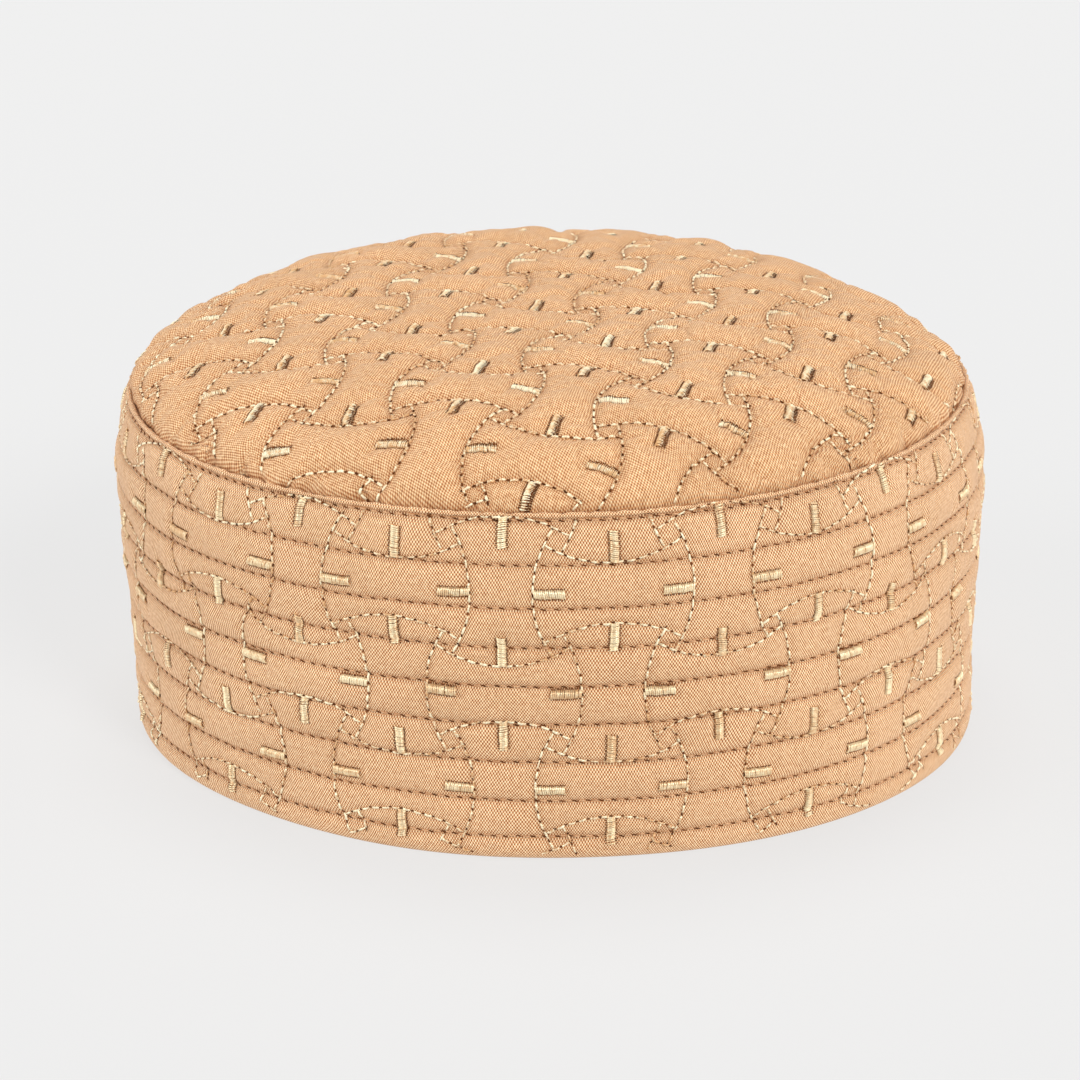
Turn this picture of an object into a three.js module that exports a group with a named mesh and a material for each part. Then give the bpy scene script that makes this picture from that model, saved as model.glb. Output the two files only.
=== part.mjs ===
// Round quilted prayer cap: a padded side band with a rolled top lip, and a padded domed crown
// panel whose edge turns down inside the band. Millimetres, +Z up, the rim stands on z = 0 and
// the front of the cap faces -Y.
import * as THREE from 'three';

// Cloth and padding
const BAND_WALL = 2.0;        // padded wall of the side band at a stitch groove
const CHANNEL_PUFF = 0.65;    // how far the padding swells between two stitch grooves
const CROWN_WALL = 2.2;       // padded wall of the crown panel
const GAP = 0.3;              // clearance between the band and the turned-down crown edge

// Side band
const SEAM_HEIGHT = 74.3;     // top stitch groove above the rim
const GROOVE_HEIGHTS = [5.2, 13.4, 22.1, 30.7, 39.3, 47.9, 56.5, 65.5, SEAM_HEIGHT];
const RIM_FOLD = 0.5;         // rounding of the folded bottom edge
const SHOULDER_START = 0.7;   // share of the height where the wall starts to lean in
const SHOULDER_LEAN = 3.4;    // how far the wall has leaned in at the top groove
const BELLY = 0.4;            // extra radius at half height
const LIP_RISE = 2.7;         // rolled lip above the top groove
const LIP_PROUD = 0.45;       // lip outside the top groove

// Crown panel
const DOME_RISE = 15.4;       // middle of the crown above its edge
const DOME_POWER = 5.9;       // flat middle, steep shoulder
const EDGE_ABOVE_SEAM = 1.0;  // crown edge above the top groove
const SKIRT_DEPTH = 7.0;      // turned-down edge inside the band
const SKIRT_WALL = 1.5;

// Soft, hand-pressed outline: mean radius and the size of each lobe, as [cosine, sine] pairs for
// one to four lobes around the cap. Angles start at the front and turn towards +X.
const RIM_OUTLINE = { mean: 92.5, lobes: [[1.1, -0.6], [-0.5, 0.1], [-1.2, 0.7], [-0.2, 0.1]] };
const SEAM_OUTLINE = { mean: 95.2, lobes: [[2.2, -1.1], [-1.1, -1.1], [0.6, 0.6], [0.3, 0.6]] };
const SEAM_LIFT = { mean: -0.3, lobes: [[-1.1, -0.6], [0.6, 0.9], [0.2, 0.1]] };

// Facets
const SEGMENTS = 84;
const DOME_STEPS = [0.15, 0.32, 0.48, 0.62, 0.73, 0.81, 0.87, 0.92, 0.96, 1.0];

const angleAt = (step) => (2 * Math.PI * step) / SEGMENTS;

function wave(outline, angle) {
  return outline.lobes.reduce(
    (sum, [c, s], i) => sum + c * Math.cos((i + 1) * angle) + s * Math.sin((i + 1) * angle),
    outline.mean,
  );
}

// Radius of the stitch grooves at a height above the rim.
function grooveRadius(angle, height) {
  const share = Math.min(height / SEAM_HEIGHT, 1);
  const straight = wave(RIM_OUTLINE, angle) * (1 - share) + wave(SEAM_OUTLINE, angle) * share;
  const lean = Math.max(0, share - SHOULDER_START) / (1 - SHOULDER_START);
  return straight + BELLY * 4 * share * (1 - share) - SHOULDER_LEAN * lean * lean;
}

// The seam is not quite level, and the whole wall follows it in proportion to its height.
function liftedHeight(angle, height) {
  return height + wave(SEAM_LIFT, angle) * Math.min(Math.max(height, 0) / SEAM_HEIGHT, 1);
}

function pointAt(angle, radius, height) {
  return [radius * Math.sin(angle), -radius * Math.cos(angle), height];
}

// Section of the band as [outward offset from the groove radius, height], running along the rim
// from inside to outside, up the quilted face, over the lip and down the inside.
function bandSection() {
  const section = [[-BAND_WALL, 0], [-RIM_FOLD, 0], [0.1, RIM_FOLD], [0.4 * CHANNEL_PUFF, 2.6]];
  GROOVE_HEIGHTS.forEach((height, i) => {
    section.push([0, height]);
    const above = GROOVE_HEIGHTS[i + 1];
    if (above) section.push([CHANNEL_PUFF, (height + above) / 2]);
  });
  const lipTop = SEAM_HEIGHT + LIP_RISE;
  section.push([LIP_PROUD, SEAM_HEIGHT + 0.35 * LIP_RISE]);
  section.push([LIP_PROUD - 0.2, lipTop - 0.7]);
  section.push([-0.35, lipTop - 0.1]);
  section.push([-1.1, lipTop]);
  section.push([-1.75, lipTop - 0.5]);
  section.push([-BAND_WALL, lipTop - 1.3]);
  [1, 0.92, 0.82, 0.68, 0.4].forEach((share) => section.push([-BAND_WALL, SEAM_HEIGHT * share]));
  return section;
}

function bandRings() {
  return bandSection().map(([offset, height]) =>
    Array.from({ length: SEGMENTS }, (_, step) => {
      const angle = angleAt(step);
      return pointAt(angle, grooveRadius(angle, height) + offset, liftedHeight(angle, height));
    }),
  );
}

const crownEdgeRadius = (angle) => grooveRadius(angle, SEAM_HEIGHT) - BAND_WALL - GAP;

// Point of the dome at a share of the way from the middle to the edge, moved inwards along the
// surface normal by a depth.
function domePoint(angle, share, depth) {
  const edge = crownEdgeRadius(angle);
  const lift = wave(SEAM_LIFT, angle) * share * share;
  const base = SEAM_HEIGHT + EDGE_ABOVE_SEAM;
  const height = base + DOME_RISE * (1 - share ** DOME_POWER) + lift;
  const slope = (-DOME_POWER * DOME_RISE * share ** (DOME_POWER - 1)) / edge;
  const length = Math.hypot(1, slope);
  return pointAt(angle, share * edge + (depth * slope) / length, height - depth / length);
}

const crownMiddle = (depth) => [0, 0, SEAM_HEIGHT + EDGE_ABOVE_SEAM + DOME_RISE - depth];

// Rings of the crown from the hidden middle, out along the inside, around the turned-down edge
// and back over the outside.
function crownRings() {
  const ring = (place) => Array.from({ length: SEGMENTS }, (_, step) => place(angleAt(step)));
  const skirt = (inset, drop) =>
    ring((angle) => {
      const height = SEAM_HEIGHT + EDGE_ABOVE_SEAM - drop;
      return pointAt(angle, crownEdgeRadius(angle) - inset, liftedHeight(angle, height));
    });
  const inside = DOME_STEPS.slice(0, -1).map((share) => ring((a) => domePoint(a, share, CROWN_WALL)));
  const outside = DOME_STEPS.map((share) => ring((a) => domePoint(a, share, 0))).reverse();
  return [
    ...inside,
    skirt(SKIRT_WALL, 1.8),
    skirt(SKIRT_WALL, SKIRT_DEPTH - 0.3),
    skirt(SKIRT_WALL - 0.4, SKIRT_DEPTH),
    skirt(0.3, SKIRT_DEPTH),
    skirt(0, SKIRT_DEPTH - 0.4),
    skirt(0, 0.5),
    ...outside,
  ];
}

// Indexed mesh through a list of rings. A missing end point closes the rings into a loop.
function skin(rings, firstPoint, lastPoint) {
  const points = rings.flat();
  const faces = [];
  const at = (ringIndex, step) => (ringIndex % rings.length) * SEGMENTS + (step % SEGMENTS);
  const spans = firstPoint ? rings.length - 1 : rings.length;
  for (let i = 0; i < spans; i += 1) {
    for (let j = 0; j < SEGMENTS; j += 1) {
      faces.push(at(i, j), at(i, j + 1), at(i + 1, j + 1));
      faces.push(at(i, j), at(i + 1, j + 1), at(i + 1, j));
    }
  }
  if (firstPoint) {
    const first = points.push(firstPoint) - 1;
    const last = points.push(lastPoint) - 1;
    for (let j = 0; j < SEGMENTS; j += 1) {
      faces.push(first, at(0, j + 1), at(0, j));
      faces.push(at(rings.length - 1, j), at(rings.length - 1, j + 1), last);
    }
  }
  const geometry = new THREE.BufferGeometry();
  geometry.setAttribute('position', new THREE.Float32BufferAttribute(points.flat(), 3));
  geometry.setIndex(faces);
  return geometry;
}

function clothMesh(name, geometry, colour) {
  const material = new THREE.MeshStandardMaterial({ color: colour, roughness: 0.85, metalness: 0 });
  const mesh = new THREE.Mesh(geometry, material);
  mesh.name = name;
  return mesh;
}

const band = skin(bandRings());
const crown = skin(crownRings(), crownMiddle(CROWN_WALL), crownMiddle(0));

// The origin is the middle of the cap's bounding box, on the surface that the rim stands on.
band.computeBoundingBox();
crown.computeBoundingBox();
const middle = band.boundingBox.clone().union(crown.boundingBox).getCenter(new THREE.Vector3());
[band, crown].forEach((geometry) => {
  geometry.translate(-middle.x, -middle.y, 0);
  geometry.computeVertexNormals();
});

const group = new THREE.Group();
group.name = 'prayer_cap';
group.add(clothMesh('side_band', band, '#cda27a'));
group.add(clothMesh('crown_panel', crown, '#d0a780'));

export default group;
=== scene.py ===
# Looks of the round quilted prayer cap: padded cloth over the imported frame, every stitch as a
# thread, procedural weave. Lengths are in millimetres until a mesh is made.
import math

import bpy
import numpy as np
from mathutils import Matrix, Vector


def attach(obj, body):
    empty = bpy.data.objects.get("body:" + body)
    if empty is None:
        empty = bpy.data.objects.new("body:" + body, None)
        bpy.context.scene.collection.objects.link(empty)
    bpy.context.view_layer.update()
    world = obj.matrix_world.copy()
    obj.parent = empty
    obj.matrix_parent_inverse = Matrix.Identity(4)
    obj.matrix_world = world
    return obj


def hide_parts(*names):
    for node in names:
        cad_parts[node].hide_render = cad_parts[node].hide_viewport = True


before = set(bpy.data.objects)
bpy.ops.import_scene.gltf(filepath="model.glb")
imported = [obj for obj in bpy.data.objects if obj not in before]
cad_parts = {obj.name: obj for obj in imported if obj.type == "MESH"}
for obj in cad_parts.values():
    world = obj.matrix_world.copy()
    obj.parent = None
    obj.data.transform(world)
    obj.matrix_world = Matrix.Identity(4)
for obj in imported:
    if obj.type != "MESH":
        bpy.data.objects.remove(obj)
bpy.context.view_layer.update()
MM = 0.001
rng = np.random.default_rng(21)

# The shape of the frame, repeated from the part's source
SEAM_HEIGHT = 74.3
GROOVES = [5.2, 13.4, 22.1, 30.7, 39.3, 47.9, 56.5, 65.5, SEAM_HEIGHT]
BAND_WALL = 2.0
CROWN_WALL = 2.2
GAP = 0.3
SHOULDER_START = 0.7
SHOULDER_LEAN = 3.4
BELLY = 0.4
DOME_RISE = 15.4
DOME_POWER = 5.9
EDGE_ABOVE_SEAM = 1.0
SKIRT_DEPTH = 7.0
SKIRT_WALL = 1.5
RIM_OUTLINE = (92.5, [(1.1, -0.6), (-0.5, 0.1), (-1.2, 0.7), (-0.2, 0.1)])
SEAM_OUTLINE = (95.2, [(2.2, -1.1), (-1.1, -1.1), (0.6, 0.6), (0.3, 0.6)])
SEAM_LIFT = (-0.3, [(-1.1, -0.6), (0.6, 0.9), (0.2, 0.1)])
PLAN_MIDDLE = (-1.610, -1.869)

# Where the soft cloth leaves the frame's shape, as (angle from the front, half width, mm)
SETTLED = [(2.05, 0.55, 2.2), (-2.1, 0.5, 1.2)]  # shoulder of the band, inwards
SUNK = [(1.93, 0.32, 1.5), (1.5, 0.35, 0.4)]  # shoulder of the crown, down
FLARED = [(1.15, 0.4, 1.5), (-1.2, 0.4, 1.2), (-0.3, 0.35, 1.4)]  # rim of the band, outwards
SETTLED_FROM = 56.0  # height where the band's shoulder starts to settle
SETTLED_OVER = 20.0
FLARED_BELOW = 20.0  # height where the rim starts to flare

# Embroidery: square tiles, upright where column + row is even, lying where it is odd
BAND_TILE = 21.85
BAND_TILE_START = (-11.91, 59.56)  # along the band from the front, and height
BAND_TILE_SLOPE = 0.0034  # height gained along the band
CROWN_TILE = 21.53
CROWN_TILE_START = (1.8, -61.5)
CROWN_TILE_TURN = math.radians(-15.6)
TILE = 22.5  # tile side that the sizes below are given for
ARC_RADIUS = 26.0
ARC_CENTRE = 32.4  # of an arc, from the middle of its tile
ARC_HALF = 13.9  # half the chord of an arc
ARC_WANDER = 0.16  # how far an arc strays from its place
BAR_NEAR = 9.7  # ends of a bar, from the middle of its tile
BAR_FAR = 16.1
BAR_WIDTH = 1.62
BAR_WANDER = 0.12
BAR_THREADS = 16
BAR_THREAD = 0.43  # thickness of one thread of a bar
BAR_NEEDLE = 0.64  # needle holes beside a bar, as a share of its width
SLACK_PLACE = 0.73  # middle of the gaps drawn as painted shade, on the way from one hole to the other
RUN_PITCH = 2.3
STITCH_WANDER = 0.07
TOPSTITCH_PITCH = 2.65
TOPSTITCH_LENGTH = 1.6
TOPSTITCH_SLANT = 0.08
BACK_STITCH_LENGTH = 1.8  # in the seam up the back
BAND_TILES = ((-14, -4), (15, 2))  # first and last (column, row)
CROWN_TILES = ((-6, -2), (6, 8))

# Section of a satin bar: places across it as shares of its width, heights as shares of its arch,
# thickness of a thread as a share of BAR_THREAD. The crown's bars are slack along one side.
EVEN_BAR = [(-0.5, -0.47, -0.36, 0.0, 0.36, 0.47, 0.5), (-0.4, 0.15, 0.85, 1.0, 0.85, 0.15, -0.4),
            (1, 1, 1, 1, 1, 1, 1)]
SLACK_BAR = [(-0.5, -0.47, -0.36, -0.05, 0.1, 0.4, 0.5), (-0.4, 0.15, 0.85, 1.0, 0.9, 0.62, 0.1),
             (1, 1, 1, 0.95, 0.5, 0.42, 0.4)]

# Mesh of the cloth
BAND_COLUMNS = 320
CHANNEL_STEPS = 6  # rows of points between two stitch rows
CHANNEL_START = 0.18  # how far a channel swells before the simulation
INNER_PLACE = 2 * SEAM_HEIGHT + 8  # inside, a place on the cloth is this less its height
CROWN_CELLS = 140
LINING_CELLS = 70
RASTER = 0.35  # grid for the stitch dimples
RASTER_EDGE = 6  # spare cells round that grid

# Padding, swelled by cloth simulation
SIM_SCALE = 10.0  # the cloth is simulated ten times as large
SIM_FRAMES = 20
BAND_PRESSURE = 20.0
BAND_GROWTH = 0.01
BAND_SWELL = 1.1  # furthest that a point may move
BAND_HELD = (0.9, 1.2)  # cloth held within this distance of a stitch, and of a bar
CROWN_PRESSURE = 30.0
CROWN_GROWTH = 0.04
CROWN_SWELL = 1.6
CROWN_HELD = (0.75, 1.0)
CROWN_BULGE = 2.1  # how far the crown's edge puffs out over the seam
CROWN_TUCK = 1.1  # how far it is then drawn back in, and down
CROWN_TUCK_DOWN = 1.8
CROWN_SKIRT = [(0, 1.5), (0, 4.0), (0, SKIRT_DEPTH - 0.4), (0.3, SKIRT_DEPTH),
               (SKIRT_WALL, SKIRT_DEPTH - 0.3), (SKIRT_WALL, 2.6)]  # (inset, drop) of its rings

# Dents that stitches press into the cloth, as (length, width, depth); their depth also sets painted
# shade in the cloth's colour
ROW_HOLE_DENT = (0.8, 0.4, 0.34)
ROW_DENT = (1.1, 0.38, 0.26)
BACK_SEAM_DENT = (1.6, 0.6, 0.5)
BAR_EDGE_DENT = (0.7, 0.35, 0.2)
BAND_HOLE_DENT = (0.45, 0.45, 0.22)
BAND_STITCH_DENT = (0.9, 0.5, 0.10)
CROWN_HOLE_DENT = (0.5, 0.5, 0.15)
CROWN_STITCH_DENT = (1.0, 0.55, 0.12)
CROWN_FOLD = (1.4, 1.7, 0.23)

# Painted shade of needle holes: dark ovals drawn on the cloth, as (length, width, height above it)
ROW_HOLE = (1.3, 0.26, 0.05)
BAND_HOLE = (0.75, 0.4, 0.08)
BAND_BAR_HOLE = (0.52, 0.22, 0.05)
CROWN_HOLE = (0.95, 0.44, 0.12)
CROWN_BAR_HOLE = (0.6, 0.24, 0.05)
# painted shade in the gaps along the slack side of each crown bar
CROWN_BAR_SHADE = (0.86, 0.42, 0.42)

# Threads of the stitches, as (thickness, rise, sink, first and last share of the stitch)
BAND_RUN = (0.52, 0.42, 0.2, 0.12, 0.88)
CROWN_RUN = (0.62, 0.42, 0.2, 0.17, 0.85)
TOPSTITCH = (0.4, 0.26, 0.1, 0.02, 0.98)
BAND_ARCH = 0.5  # height of a satin bar
CROWN_ARCH = 0.55

# Weave
GRAIN_WIDTH = 0.58
GRAIN_HEIGHT = 0.46
GRAIN_TONES = [(0.14, (142, 82, 42)), (0.48, (222, 165, 114)), (0.88, (255, 240, 206))]
WEAVE_DRIFT = 5.0  # how far the weave wanders off its grid

# Camera, found by fitting the stitch rows and the embroidery in the photograph
CAMERA_AWAY = 0.700
CAMERA_AIM = (-0.002777, 0.001869, 0.034099)
CAMERA_ELEVATION = math.radians(20.765)
CAMERA_ROLL = math.radians(-0.272)
CAMERA_LENS = 103.04

# Suns, as (name, where from, strength, degrees across)
LIGHTS = [("key", (0.5, -0.75, 0.6), 1.6, 18), ("top", (0.0, 0.3, 0.9), 1.15, 30),
          ("right_side", (1.0, -0.2, 0.3), 1.12, 45), ("left_side", (-1.0, -0.2, 0.3), 1.9, 45)]


# Shape of the frame
def wave(outline, angle):
    mean, lobes = outline
    total = np.full(np.shape(angle), float(mean))
    for i, (c, s) in enumerate(lobes, 1):
        total = total + c * np.cos(i * angle) + s * np.sin(i * angle)
    return total


def soft_step(value):
    value = np.clip(value, 0, 1)
    return value * value * (3 - 2 * value)


def around(angle, places):
    """Soft hills round the cap, from (angle, half width, height in mm) for each."""
    return sum(top * np.exp(-(((angle - middle) / width) ** 2)) for middle, width, top in places)


def groove_radius(angle, height):
    share = np.minimum(height / SEAM_HEIGHT, 1)
    straight = wave(RIM_OUTLINE, angle) * (1 - share) + wave(SEAM_OUTLINE, angle) * share
    lean = np.maximum(0, share - SHOULDER_START) / (1 - SHOULDER_START)
    settled = around(angle, SETTLED) * soft_step((height - SETTLED_FROM) / SETTLED_OVER)
    flared = around(angle, FLARED) * soft_step((FLARED_BELOW - height) / FLARED_BELOW)
    return straight + BELLY * 4 * share * (1 - share) - SHOULDER_LEAN * lean**2 - settled + flared


def lifted(angle, height):
    return height + wave(SEAM_LIFT, angle) * np.clip(height / SEAM_HEIGHT, 0, 1)


def point_at(angle, radius, height):
    x = radius * np.sin(angle) - PLAN_MIDDLE[0]
    y = -radius * np.cos(angle) - PLAN_MIDDLE[1]
    return np.stack([x, y, height], -1)


def crown_edge(angle):
    return groove_radius(angle, SEAM_HEIGHT) - BAND_WALL - GAP


def dome_point(angle, share, depth):
    edge = crown_edge(angle)
    base = SEAM_HEIGHT + EDGE_ABOVE_SEAM + wave(SEAM_LIFT, angle) * share**2
    height = base + DOME_RISE * (1 - share**DOME_POWER)
    slope = -DOME_POWER * DOME_RISE * share ** (DOME_POWER - 1) / edge
    length = np.hypot(1, slope)
    return point_at(angle, share * edge + depth * slope / length, height - depth / length)


# Tables for lengths on the cloth
def band_length_table():
    """Angles all round the band, and the length along it from the front, on the slightly squared
    oval that the embroidery was measured on."""
    angle = np.linspace(-math.pi, math.pi, 1441)
    radius = 93.0 / np.sqrt(np.sin(angle) ** 2 + (np.cos(angle) / 1.016) ** 2)
    radius = radius * (1 + 0.0263 * (1 - np.cos(4 * angle)) / 2)
    x, y = radius * np.sin(angle), -radius * np.cos(angle)
    length = np.concatenate([[0], np.cumsum(np.hypot(np.diff(x), np.diff(y)))])
    return angle, length - length[len(length) // 2]


BAND_ANGLES, BAND_LENGTHS = band_length_table()
BAND_START = BAND_LENGTHS[0]
BAND_ROUND = BAND_LENGTHS[-1] - BAND_LENGTHS[0]


def dome_table():
    """Share of the way to the edge, for edge radii and lengths up the dome from its middle."""
    share = np.linspace(0, 1.1, 551)
    radii = np.linspace(84, 96, 25)
    lengths = np.linspace(0, 110, 551)
    rows = []
    for radius in radii:
        drop = DOME_RISE * share**DOME_POWER
        steps = np.hypot(np.diff(share * radius), np.diff(drop))
        rows.append(np.interp(lengths, np.concatenate([[0], np.cumsum(steps)]), share))
    return radii, lengths, np.array(rows)


DOME_RADII, DOME_LENGTHS, DOME_SHARES = dome_table()


def bilinear(table, row, column):
    row = np.clip(row, 0, table.shape[0] - 1.001)
    column = np.clip(column, 0, table.shape[1] - 1.001)
    i, j = row.astype(int), column.astype(int)
    a, b = row - i, column - j
    if table.ndim == 3:
        a, b = a[..., None], b[..., None]
    low = table[i, j] * (1 - b) + table[i, j + 1] * b
    high = table[i + 1, j] * (1 - b) + table[i + 1, j + 1] * b
    return low * (1 - a) + high * a


def dome_row(radius):
    return (radius - DOME_RADII[0]) / (DOME_RADII[1] - DOME_RADII[0])


def dome_share(length, radius):
    column = length / (DOME_LENGTHS[1] - DOME_LENGTHS[0])
    return bilinear(DOME_SHARES, dome_row(radius), column)


def dome_length(angle):
    """Length up the dome from its middle to its edge."""
    edge = crown_edge(angle)
    rows = np.round(dome_row(np.ravel(edge))).astype(int)
    lengths = [np.interp(1.0, DOME_SHARES[row], DOME_LENGTHS) for row in rows]
    return np.array(lengths).reshape(np.shape(edge))


# Mesh tools
def unit(vectors):
    return vectors / np.maximum(np.linalg.norm(vectors, axis=-1, keepdims=True), 1e-9)


def refine(values, axis, closed):
    """Twice as many steps along an axis, on smooth curves through the old points."""
    v = np.moveaxis(values, axis, 0)
    if closed:
        before, after, beyond = np.roll(v, 1, 0), np.roll(v, -1, 0), np.roll(v, -2, 0)
        middle = (9 * (v + after) - before - beyond) / 16
        out = np.stack([v, middle], 1).reshape(2 * len(v), *v.shape[1:])
    else:
        padded = np.concatenate([2 * v[:1] - v[1:2], v, 2 * v[-1:] - v[-2:-1]])
        middle = (9 * (v[:-1] + v[1:]) - padded[:-3] - padded[3:]) / 16
        out = np.empty((2 * len(v) - 1, *v.shape[1:]))
        out[0::2], out[1::2] = v, middle
    return np.moveaxis(out, 0, axis)


def surface_normals(points, closed):
    """Unit normals of a grid of points [row, column]; closed says which axes join up."""
    slopes = []
    for axis in (0, 1):
        if closed[axis]:
            slopes.append(np.roll(points, -1, axis) - np.roll(points, 1, axis))
        else:
            slopes.append(np.gradient(points, axis=axis))
    return unit(np.cross(slopes[1], slopes[0]))


def add_object(name, data):
    new = bpy.data.objects.new(name, data)
    bpy.context.collection.objects.link(new)
    return new


def build(name, points, face_groups, material, corner_uv=None, values=None):
    """A smooth mesh from points in mm and groups of faces, each an array [face, corner]."""
    mesh = bpy.data.meshes.new(name)
    corners = np.concatenate([g.ravel() for g in face_groups]).astype(np.int32)
    sizes = np.concatenate([np.full(len(g), g.shape[1]) for g in face_groups]).astype(np.int32)
    starts = np.concatenate([[0], np.cumsum(sizes)[:-1]]).astype(np.int32)
    mesh.vertices.add(len(points))
    mesh.vertices.foreach_set("co", (points * MM).astype(np.float32).ravel())
    mesh.loops.add(len(corners))
    mesh.loops.foreach_set("vertex_index", corners)
    mesh.polygons.add(len(sizes))
    mesh.polygons.foreach_set("loop_start", starts)
    mesh.polygons.foreach_set("loop_total", sizes)
    mesh.polygons.foreach_set("use_smooth", np.ones(len(sizes), bool))
    if corner_uv is not None:
        layer = mesh.uv_layers.new(name="cloth_mm")
        layer.data.foreach_set("uv", corner_uv.astype(np.float32).ravel())
    # values: painted shade for dents, valleys and creases, kept as a point attribute
    if values is not None:
        layer = mesh.attributes.new("painted_cavity_shade", "FLOAT", "POINT")
        layer.data.foreach_set("value", values.astype(np.float32))
    mesh.update()
    mesh.validate()
    mesh.materials.append(material)
    return add_object(name, mesh)


def grid_corners(rows, columns):
    """Row and column number of the four corners of each cell of a grid."""
    r, c = np.meshgrid(np.arange(rows), np.arange(columns), indexing="ij")
    r, c = r.ravel(), c.ravel()
    return np.stack([r, r, r + 1, r + 1], -1), np.stack([c, c + 1, c + 1, c], -1)


# Cloth simulation
def inflate(points, faces, free, pressure, growth):
    """Points after air pressure has swelled the cloth between its stitches, in mm. free is 1
    where the cloth may move and 0 where a stitch holds it."""
    mesh = bpy.data.meshes.new("padding")
    mesh.from_pydata((points * MM * SIM_SCALE).tolist(), [], faces.tolist())
    cloth = add_object("padding", mesh)
    pins = cloth.vertex_groups.new(name="pins")
    pins.add(np.nonzero(free < 0.5)[0].tolist(), 1.0, "REPLACE")
    modifier = cloth.modifiers.new("swell", "CLOTH")
    settings = modifier.settings
    settings.quality = 5
    settings.mass = 0.15
    settings.tension_stiffness = settings.compression_stiffness = 20
    settings.shear_stiffness = 8
    settings.bending_stiffness = 1.0
    settings.shrink_min = -growth
    settings.use_pressure = True
    settings.uniform_pressure_force = pressure
    settings.vertex_group_mass = "pins"
    settings.effector_weights.gravity = 0
    modifier.collision_settings.use_collision = False
    modifier.point_cache.frame_end = SIM_FRAMES
    scene = bpy.context.scene
    for number in range(1, SIM_FRAMES + 1):
        scene.frame_set(number)
    result = cloth.evaluated_get(bpy.context.evaluated_depsgraph_get()).data
    moved = np.empty(len(points) * 3)
    result.vertices.foreach_get("co", moved)
    moved = moved.reshape(-1, 3) / (MM * SIM_SCALE)
    scene.frame_set(1)
    bpy.data.objects.remove(cloth)
    return moved


def swell(points, faces, free, pressure, growth, most):
    """The simulated cloth, with no point further than most from where it started."""
    move = inflate(points, faces, free, pressure, growth) - points
    size = np.linalg.norm(move, axis=-1, keepdims=True)
    return points + move * np.minimum(1, most / np.maximum(size, 1e-9))


def held(places, stitches, reach):
    """True where a point of the cloth lies within reach of a stitch."""
    flat = places.reshape(-1, 2)
    found = np.zeros(len(flat), bool)
    for start, end in stitches:
        way = end - start
        wide = reach + np.abs(way).max() / 2
        near = np.nonzero(np.abs(flat - (start + end) / 2).max(-1) < wide)[0]
        share = ((flat[near] - start) @ way / (way @ way)).clip(0, 1)
        gap = np.linalg.norm(flat[near] - start - share[:, None] * way, axis=-1)
        found[near[gap < reach]] = True
    return found.reshape(places.shape[:-1])


# Embroidery pattern
def tile_lines(middle, upright, scale):
    """The two arcs of a tile, each as points spaced by one stitch."""
    half = math.asin(ARC_HALF / ARC_RADIUS)
    count = round(2 * half * ARC_RADIUS * scale / RUN_PITCH)
    lines = []
    for side in (-1, 1):
        turn = np.linspace(-half, half, count + 1) + rng.uniform(-0.006, 0.006)
        across = side * (ARC_CENTRE - ARC_RADIUS * np.cos(turn)) * scale
        along = ARC_RADIUS * np.sin(turn) * scale * side
        offset = rng.normal(0, ARC_WANDER, 2)
        x, y = (across, along) if upright else (along, across)
        lines.append(np.stack([x, y], -1) + np.array(middle) + offset)
    return lines


def tile_bars(middle, upright, scale):
    """The two satin bars of a tile, each as its two end points."""
    bars = []
    for side in (-1, 1):
        ends = np.array([BAR_NEAR, BAR_FAR]) * side * scale + rng.normal(0, BAR_WANDER, 2)
        drift = rng.normal(0, BAR_WANDER, 2)
        pair = [(drift[i], ends[i]) if upright else (ends[i], drift[i]) for i in (0, 1)]
        bars.append(np.array(pair) + np.array(middle))
    return bars


def band_place(points):
    """Pattern millimetres to length along the band and height."""
    s = BAND_TILE_START[0] + points[..., 0]
    return np.stack([s, BAND_TILE_START[1] + points[..., 1] + BAND_TILE_SLOPE * s], -1)


def crown_place(points):
    c, s = math.cos(CROWN_TILE_TURN), math.sin(CROWN_TILE_TURN)
    x, y = points[..., 0], points[..., 1]
    return np.stack([CROWN_TILE_START[0] + x * c - y * s, CROWN_TILE_START[1] + x * s + y * c], -1)


def segments(lines, keep):
    """Single stitches [stitch, end, xy] from lines of points; keep tells which points count."""
    found = np.concatenate([np.stack([line[:-1], line[1:]], 1) for line in lines])
    found = found + rng.normal(0, STITCH_WANDER, found.shape)
    inside = keep(found[:, 0]) & keep(found[:, 1])
    return found[inside]


def pattern(first, last, size, place, keep):
    """Stitches and bars of the tiles from the first to the last (column, row). place lays them on
    the cloth, and keep tells which points of it count."""
    lines, bars = [], []
    for u in range(first[0], last[0] + 1):
        for v in range(first[1], last[1] + 1):
            middle, upright = (u * size, v * size), (u + v) % 2 == 0
            lines += tile_lines(middle, upright, size / TILE)
            bars += tile_bars(middle, upright, size / TILE)
    stitches = segments([place(line) for line in lines], keep)
    return stitches, [bar for bar in map(place, bars) if keep(bar).all()]


def on_band(points):
    s, h = points[..., 0], points[..., 1]
    room = BAND_ROUND / 2 - 1.2
    return (np.abs(s) < room) & (h > 1.2) & (h < SEAM_HEIGHT + 1.3)


def crown_angle(places):
    return np.arctan2(places[..., 0], -places[..., 1])


def crown_share(places):
    """How far out on the dome a place of its cloth is, 0 in the middle and 1 at the edge."""
    return np.hypot(places[..., 0], places[..., 1]) / dome_length(crown_angle(places))


def on_crown(places):
    return crown_share(places) < 1


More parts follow.
